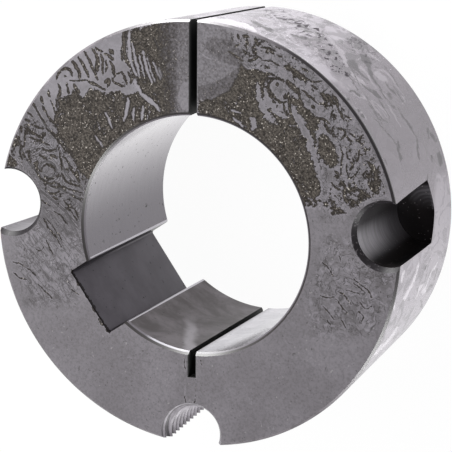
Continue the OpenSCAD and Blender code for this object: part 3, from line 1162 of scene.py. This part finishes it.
# Where a painted reflection makes the outside paler, but for its darker clouds
PAINTED_REFLECTION_PATCHES = [
    (0.85, (196, 14), (250, 2), (300, 8), (322, 18), (318, 36), (300, 34), (280, 40), (262, 34),
     (230, 26), (196, 26)),
    (0.9, (326, 26), (346, 26), (351, 36), (344, 38), (338, 40), (330, 37)),
    (0.9, (262, 31), (284, 37), (308, 51), (322, 64), (336, 80), (326, 78), (306, 62), (286, 48),
     (262, 37)),
    (0.5, (338, 78), (350, 82), (357, 90), (350, 91), (342, 86)),
    (0.6, (390, 262), (418, 244), (436, 216), (438, 176), (454, 170), (454, 250), (438, 300),
     (400, 352), (368, 376), (362, 352), (388, 310)),
]
SHADE_MARKS = [
    (0.8, 1.0, (294, 22), (302, 26), (309, 29)),
    (0.9, (304, 30), (313, 33)),
    (0.8, (315, 32), (321, 35)),
    (0.7, (309, 17), (313, 18)),
    (0.7, (276, 17), (282, 19)),
    (0.6, (266, 14), (271, 16)),
    (0.8, (286, 21), (291, 24)),
    (1.4, 2.0, (251, 21), (262, 26), (273, 32)),
    (1.3, (290, 34), (299, 37), (307, 38)),
    (0.7, (322, 31), (324, 37)),
    (3.4, 3.0, (350, 61), (354, 65), (357, 69)),
    (3.6, 3.2, (361, 55), (366, 60), (370, 67)),
    (2.4, 1.0, (369, 68), (372, 76), (377, 86)),
    (1.8, 0.9, (357, 69), (363, 76), (370, 81)),
    (0.7, 1.6, (360, 82), (366, 87), (372, 92)),
    (2.6, 1.0, (373, 91), (377, 95), (383, 99)),
    (0.7, 1.0, (385, 81), (390, 88), (397, 96)),
    (1.1, 0.8, (388, 92), (392, 99)),
    (0.7, (345, 70), (350, 78), (356, 87), (359, 91)),
    (1.4, 1.6, (349, 91), (355, 92), (360, 96)),
    (0.9, 0.8, (398, 108), (404, 118), (412, 129), (417, 137)),
    (1.1, 1.0, (417, 138), (418, 150), (419, 160)),
    (1.3, 1.0, (398, 141), (399, 152), (401, 162)),
    (1.2, 1.0, (401, 155), (402, 160)),
    (1.0, (427, 128), (429, 139)),
    (0.9, (430, 132), (436, 142)),
    (1.1, (431, 155), (433, 162)),
    (2.0, (439, 152), (440, 160), (441, 166)),
    (0.7, (429, 174), (427, 180)),
    (0.5, (368, 104), (375, 113), (383, 124)),
    (0.5, (378, 98), (384, 108), (390, 119)),
    (1.4, (347, 99), (349, 100)),
    (1.2, (358, 109), (360, 112)),
    (1.3, (361, 114), (364, 118)),
    (0.6, (384, 158), (387, 166)),
    (1.0, 0.7, (426, 265), (424, 270)),
    (0.8, (430, 286), (432, 285)),
    (0.6, 0.8, (421, 300), (422, 308)),
    (0.7, (437, 268), (434, 280)),
    # long strokes at the upper right
    (1.0, 0.6, (346, 58), (351, 68), (356, 78), (361, 86)),
    (0.8, 0.9, (371, 72), (378, 86), (387, 99), (396, 110)),
    (0.6, (366, 97), (373, 108), (381, 118), (389, 124)),
    (0.6, (392, 86), (399, 95), (405, 105)),
    (0.5, (374, 118), (384, 129), (394, 141), (401, 152)),
    (0.7, 0.5, (384, 66), (392, 76), (399, 87)),
]
# Pale streaks of the film, partly painted reflection
PALE_MARKS = [
    (1.6, (240, 17), (254, 19), (268, 22), (281, 26)),
    (1.0, (268, 36), (280, 41), (290, 48), (303, 57)),
    (1.3, (311, 46), (317, 52), (322, 60), (328, 68)),
    (1.6, 3.2, (330, 40), (336, 46), (341, 52), (345, 58), (347, 66)),
    (2.5, 3.5, (351, 72), (357, 79), (365, 85)),
    (3.6, 2.6, (375, 73), (381, 76), (387, 82)),
    (1.1, 0.9, (360, 66), (366, 74), (371, 81), (376, 89)),
    (0.8, (352, 49), (358, 53), (361, 58), (356, 61)),
    (0.6, (350, 90), (358, 95), (366, 99), (371, 104), (376, 109)),
    (0.6, (372, 100), (380, 106), (386, 112), (389, 118)),
    (0.6, (380, 92), (386, 97), (389, 101)),
    (0.6, (390, 103), (394, 111)),
    (0.7, (333, 84), (340, 90), (348, 99)),
    (0.7, (354, 105), (361, 112), (367, 121)),
    (1.2, (370, 52), (375, 57), (381, 62)),
    (0.9, 0.7, (374, 69), (382, 70), (391, 77), (398, 86), (405, 98)),
    (0.7, (361, 94), (370, 103), (379, 113), (386, 122)),
    (0.6, (386, 104), (394, 115), (402, 127)),
    (0.6, (401, 96), (404, 101), (402, 104)),
    (0.8, (435, 214), (440, 216), (446, 212)),
    (0.8, (449, 222), (440, 227), (435, 234)),
]
# A painted highlight along the top of the outside, and white streaks lower down that are partly painted
# reflection
HIGHLIGHT_AND_WHITE_MARKS = [
    (3.4, 2.6, (200, 19), (214, 20), (232, 23), (246, 26), (256, 31)),
    (0.7, 1.6, (419, 262), (416, 274), (411, 287), (404, 300)),
    (1.1, 0.7, (422, 284), (419, 291), (415, 299)),
    (0.7, 1.2, (438, 262), (432, 272), (427, 284), (422, 296)),
    (1.2, 0.8, (404, 270), (401, 283)),
    (1.2, (395, 303), (394, 310)),
    (1.4, (398, 327), (392, 336), (386, 343), (381, 350)),
    (1.4, 1.6, (383, 344), (378, 350), (372, 358)),
]


def smooth_path(points):
    """A Catmull-Rom curve through the points."""
    points = [np.array(point, float) for point in points]
    ends = [points[0], *points, points[-1]]
    path = []
    for before, start, end, after in zip(ends, ends[1:], ends[2:], ends[3:]):
        for step in range(PATH_STEPS):
            t = step / PATH_STEPS
            path.append(
                0.5 * (2 * start + (end - before) * t
                       + (2 * before - 5 * start + 4 * end - after) * t**2
                       + (3 * start - before - 3 * end + after) * t**3)
            )
    path.append(points[-1])
    return np.array(path)


def no_mark(points):
    """The side and the reach at points that no mark is near yet."""
    return np.full(len(points), FAR), np.full(len(points), -FAR)


def nearer(known, other):
    """The side and the reach, point by point, of the mark that lies nearer."""
    better = other[1] - np.abs(other[0]) > known[1] - np.abs(known[0])
    return np.where(better, other[0], known[0]), np.where(better, other[1], known[1])


def beside_mark(points, path, first, last):
    """Signed distances of points from a path, and how far the mark reaches beside them."""
    found = no_mark(points)
    count = len(path) - 1
    for index in range(count):
        along = path[index + 1] - path[index]
        length = np.linalg.norm(along)
        rest = points - path[index]
        progress = rest @ along / length**2
        overrun = length * np.maximum(0, np.maximum(-progress, progress - 1))
        across = (along[0] * rest[:, 1] - along[1] * rest[:, 0]) / length
        share = (index + np.clip(progress, 0, 1)) / count
        # A mark narrows to half its width at both ends
        width = (first + (last - first) * share) * (1 - 0.5 * np.abs(2 * share - 1) ** 3)
        faded = FADE * np.maximum(0, np.abs(across) - width - CLEAR)
        found = nearer(found, (across, width - overrun - faded))
    return found


def share_out(marks, count):
    """Shares marks out over layers, so that marks in one layer lie well apart."""
    layers = [[] for _ in range(count)]
    for mark in marks:
        widths = [part for part in mark if not isinstance(part, tuple)]
        path = smooth_path(mark[len(widths):])
        gaps = []
        for layer in layers:
            apart = [FAR]
            for other, *other_widths in layer:
                steps = path[:, None] - other[None]
                apart.append(np.linalg.norm(steps, axis=2).min() - max(other_widths))
            gaps.append(min(apart) - max(widths))
        roomy = [index for index, gap in enumerate(gaps) if gap > ROOMY]
        chosen = roomy[0] if roomy else int(np.argmax(gaps))
        layers[chosen].append((path, widths[0], widths[-1]))
    return layers


def inside_outline(points, outline):
    """How far points lie inside a closed outline; less than nothing is outside it."""
    away = np.full(len(points), FAR)
    crossings = np.zeros(len(points), int)
    corners = np.array(outline, float)
    for start, end in zip(corners, np.roll(corners, -1, axis=0)):
        along = end - start
        rest = points - start
        share = np.clip(rest @ along / (along @ along), 0, 1)
        away = np.minimum(away, np.linalg.norm(rest - share[:, None] * along, axis=1))
        above = (rest[:, 1] >= 0) != (rest[:, 1] >= along[1])
        rise = along[1] if along[1] else 1
        crossings += above & (rest[:, 0] < along[0] * rest[:, 1] / rise)
    return np.where(crossings % 2 == 1, away, -away)


def in_patches(points, patches, soft):
    """The strength of the patches inside them, falling to 0 a soft edge's width outside."""
    found = np.zeros(len(points))
    for strength, *outline in patches:
        share = np.clip(1 + inside_outline(points, outline) / soft, 0, 1)
        found = np.maximum(found, strength * share)
    return found


def store(mesh, name, chosen, *columns):
    """Stores up to three columns of numbers for the chosen vertices."""
    values = np.zeros((len(mesh.vertices), 3), np.float32)
    for index, column in enumerate(columns):
        values[chosen, index] = column
    mesh.attributes.new(name, "FLOAT_VECTOR", "POINT").data.foreach_set("vector", values.ravel())


def store_marks(mesh, chosen, places, kind, marks):
    """Stores, a layer at a time, how far vertices lie beside the nearest mark, and its reach."""
    for index, layer in enumerate(share_out(marks, LAYERS[kind])):
        found = no_mark(places)
        for mark in layer:
            found = nearer(found, beside_mark(places, *mark))
        store(mesh, f"{kind}_{index}", chosen, *found)


def mark_face(mesh, points):
    """Stores where the large face's film, stains and marks lie."""
    chosen = np.abs(points[:, 2] - LENGTH * MM) < TOUCHING
    places = in_picture(points[chosen])
    cover = np.full(len(places), FULL_FILM)
    for covered, *outline in PATCHES:
        inside = inside_outline(places, outline)
        if covered < FILM:
            cover = np.minimum(cover, np.maximum(-inside, covered))
        else:
            cover = np.maximum(cover, np.minimum(inside, covered))
    hazy = in_patches(places, HAZY_PATCHES, SOFT["hazy"])
    lined = in_patches(places, LINED_PATCHES, SOFT["lined"])
    store(mesh, "cover", chosen, cover, hazy, lined)

    guide = np.full(len(places), FAR)
    for path in GUIDES:
        side, reach = beside_mark(places, smooth_path(path), 0, 0)
        guide = np.minimum(guide, np.abs(side) - reach)
    swirled = in_patches(places, SWIRLED_PATCHES, SOFT["swirled"])
    paler = in_patches(places, PALE_PATCHES, SOFT["paler"])
    store(mesh, "swirl", chosen, guide, swirled, paler)
    store_marks(mesh, chosen, places, "film", FILM_MARKS)
    store_marks(mesh, chosen, places, "dark", DARK_MARKS)


def mark_outside(mesh, points):
    """Stores where marks lie on the side of the tapered outside that the camera sees."""
    radius = taper_r(points[:, 2] / MM) * MM
    chosen = np.abs(np.hypot(points[:, 0], points[:, 1]) - radius) < TOUCHING
    places = in_picture(points[chosen])
    facing = points[chosen][:, :2] @ polar(1, CAMERA_BEARING) > 0
    places[~facing] = -FAR
    flecked = in_patches(places, FLECKED_PATCHES, SOFT["flecked"])
    painted_reflection = in_patches(places, PAINTED_REFLECTION_PATCHES, SOFT["painted_reflection"])
    store(mesh, "flecked", chosen, flecked, painted_reflection)
    store_marks(mesh, chosen, places, "shade", SHADE_MARKS)
    store_marks(mesh, chosen, places, "pale", PALE_MARKS)
    store_marks(mesh, chosen, places, "white", HIGHLIGHT_AND_WHITE_MARKS)


def add_floor():
    """A pale floor that shows white, with the bush's shadow kept faint."""
    low = -FLOOR_REACH
    high = FLOOR_REACH
    mesh = bpy.data.meshes.new("floor")
    corners = [(low, low, 0), (high, low, 0), (high, high, 0), (low, high, 0)]
    mesh.from_pydata(corners, [], [(0, 1, 2, 3)])
    paint = Paint("floor")
    direct = paint.value("ShaderNodeLightPath", output="Is Camera Ray")
    mirrored = paint.value("ShaderNodeLightPath", output="Is Glossy Ray")
    seen = paint.value("ShaderNodeMath", direct, mirrored, operation="ADD", use_clamp=True)
    diffuse = paint.value("ShaderNodeBsdfDiffuse", (0.9, 0.9, 0.9))
    glow = paint.value("ShaderNodeEmission", (1, 1, 1), 1)
    surface = paint.value("ShaderNodeMixShader", FLOOR_GLOW * seen, diffuse, glow)
    paint.feed(surface, paint.tree.nodes["Material Output"].inputs["Surface"])
    mesh.materials.append(paint.material)
    show("floor", mesh)


def add_lamp(name, bearing, height, distance, size, power):
    """A square soft lamp that faces the bush."""
    level = distance * math.cos(math.radians(height))
    above = distance * math.sin(math.radians(height))
    at = Vector((*polar(level, math.radians(bearing)), above))
    data = bpy.data.lights.new(name, "AREA")
    data.shape = "SQUARE"
    data.size = size
    data.energy = power
    lamp = show(name, data)
    lamp.location = at
    lamp.rotation_euler = at.to_track_quat("Z", "Y").to_euler()


camera = add_camera()
casting = ring()
cutters = [
    keyway_cutter(),
    sawn_cutter("split_cutter", 0, LARGE_R + OVER),
    sawn_cutter("relief_cutter", -(BORE_R + RELIEF_DEPTH), 0),
    *seat_cutters(SPLIT_ANGLE + SEAT_TURN),
    *seat_cutters(SPLIT_ANGLE - SEAT_TURN),
    thread_cutter(),
    countersink_cutter(),
]
for cutter in cutters:
    cut(casting, cutter)
casting.data.shade_smooth()
casting.data.set_sharp_from_angle(angle=SMOOTH_UNDER)
places = np.zeros(len(casting.data.vertices) * 3)
casting.data.vertices.foreach_get("co", places)
places = places.reshape(-1, 3)
mark_face(casting.data, places)
mark_outside(casting.data, places)

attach(casting, "root")
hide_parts("bush")

add_floor()
for name, settings in LAMPS.items():
    add_lamp(name, *settings)

world = bpy.data.worlds.new("world")
world.use_nodes = True
background = world.node_tree.nodes["Background"]
background.inputs["Strength"].default_value = WORLD_STRENGTH
background.inputs["Color"].default_value = (1, 1, 1, 1)
bpy.context.scene.world = world

bpy.context.scene.view_settings.view_transform = "Standard"
